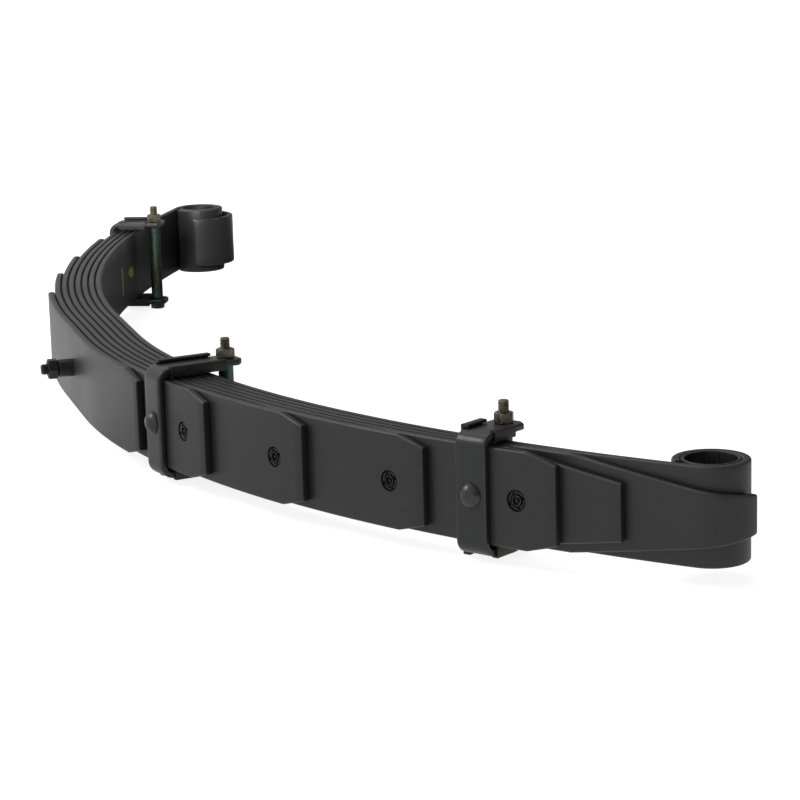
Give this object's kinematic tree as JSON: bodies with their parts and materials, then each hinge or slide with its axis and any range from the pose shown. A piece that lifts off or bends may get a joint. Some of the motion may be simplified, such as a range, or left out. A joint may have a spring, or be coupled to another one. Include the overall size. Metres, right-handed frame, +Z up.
{
  "type": "leaf spring",
  "caption": "Arched multi-leaf suspension spring with rolled eyes, military wrapper leaf, centre bolt, bolted rebound clamps and tip buttons.",
  "frame": {"origin": "middle of the footprint, on the surface that the spring lies on with its leaves on edge", "axes": "+X towards the rear eye, +Y towards the concave side, +Z up along the leaf width"},
  "size_m": [1.3774, 0.3818, 0.1099],
  "materials": {
    "leaf": "dark charcoal satin paint on rolled spring steel",
    "strap": "dark charcoal satin paint, slightly brighter at the bends",
    "rivet": "thin blue-grey satin paint on a forged head",
    "liner": "brownish black moulded liner",
    "button": "glossy black anti-friction plastic",
    "sleeve": "dark oiled rolled steel",
    "centre_fastener": "dark charcoal satin paint over steel",
    "clamp_fastener": "olive brown zinc chromate",
    "spacer_tube": "iridescent yellow-green zinc chromate"
  },
  "bodies": {
    "leaf_pack": {"leaf_1": "leaf", "leaf_2": "leaf", "leaf_3": "leaf", "leaf_4": "leaf", "leaf_5": "leaf", "leaf_6": "leaf", "leaf_7_wrapper": "leaf", "leaf_8_main": "leaf", "centre_bolt": "centre_fastener", "centre_nut": "centre_fastener", "centre_dowel": "centre_fastener", "tip_button_2_rear": "button", "tip_button_2_front": "button", "tip_button_3_rear": "button", "tip_button_3_front": "button", "tip_button_4_rear": "button", "tip_button_4_front": "button", "tip_button_5_rear": "button", "tip_button_5_front": "button"},
    "rear_eye": {"eye_sleeve_rear": "sleeve"},
    "front_eye": {"eye_sleeve_front": "sleeve"},
    "rear_inner_clamp": {"clamp_rear_inner_strap": "strap", "clamp_rear_inner_rivet": "rivet", "clamp_rear_inner_upper_liner": "liner", "clamp_rear_inner_lower_liner": "liner", "clamp_rear_inner_bolt": "clamp_fastener", "clamp_rear_inner_nut": "clamp_fastener", "clamp_rear_inner_spacer_tube": "spacer_tube"},
    "rear_outer_clamp": {"clamp_rear_outer_strap": "strap", "clamp_rear_outer_rivet": "rivet", "clamp_rear_outer_upper_liner": "liner", "clamp_rear_outer_lower_liner": "liner", "clamp_rear_outer_bolt": "clamp_fastener", "clamp_rear_outer_nut": "clamp_fastener", "clamp_rear_outer_spacer_tube": "spacer_tube"},
    "front_clamp": {"clamp_front_strap": "strap", "clamp_front_rivet": "rivet", "clamp_front_upper_liner": "liner", "clamp_front_lower_liner": "liner", "clamp_front_bolt": "clamp_fastener", "clamp_front_nut": "clamp_fastener", "clamp_front_spacer_tube": "spacer_tube"}
  },
  "joints": [
    {"name": "rear_arm_flex", "type": "hinge", "parent": "leaf_pack", "child": "rear_eye", "pos_m": [0.1951, -0.10416, 0.0496], "axis": [0, 0, -1], "range_deg": [-2, 18], "stiffness_Nm_per_rad": 7000, "deforming": ["leaf_1", "leaf_2", "leaf_3", "leaf_4", "leaf_5", "leaf_6", "leaf_7_wrapper", "leaf_8_main", "tip_button_2_rear", "tip_button_3_rear", "tip_button_4_rear", "tip_button_5_rear"]},
    {"name": "front_arm_flex", "type": "hinge", "parent": "leaf_pack", "child": "front_eye", "pos_m": [-0.16362, -0.10777, 0.0496], "axis": [0, 0, 1], "range_deg": [-2, 18], "stiffness_Nm_per_rad": 7000, "deforming": ["leaf_1", "leaf_2", "leaf_3", "leaf_4", "leaf_5", "leaf_6", "leaf_7_wrapper", "leaf_8_main", "tip_button_2_front", "tip_button_3_front", "tip_button_4_front", "tip_button_5_front"]},
    {"name": "rear_inner_clamp_turn", "type": "hinge", "parent": "leaf_pack", "child": "rear_inner_clamp", "pos_m": [0.1951, -0.10416, 0.0496], "axis": [0, 0, -1], "range_deg": [-0.4, 3.4]},
    {"name": "rear_outer_clamp_turn", "type": "hinge", "parent": "leaf_pack", "child": "rear_outer_clamp", "pos_m": [0.1951, -0.10416, 0.0496], "axis": [0, 0, -1], "range_deg": [-1.9, 16.5]},
    {"name": "front_clamp_turn", "type": "hinge", "parent": "leaf_pack", "child": "front_clamp", "pos_m": [-0.16362, -0.10777, 0.0496], "axis": [0, 0, 1], "range_deg": [-1.8, 16.1]}
  ],
  "couplings": [
    {"joint": "rear_inner_clamp_turn", "follows": "rear_arm_flex", "ratio": 0.186},
    {"joint": "rear_outer_clamp_turn", "follows": "rear_arm_flex", "ratio": 0.909},
    {"joint": "front_clamp_turn", "follows": "front_arm_flex", "ratio": 0.889}
  ]
}
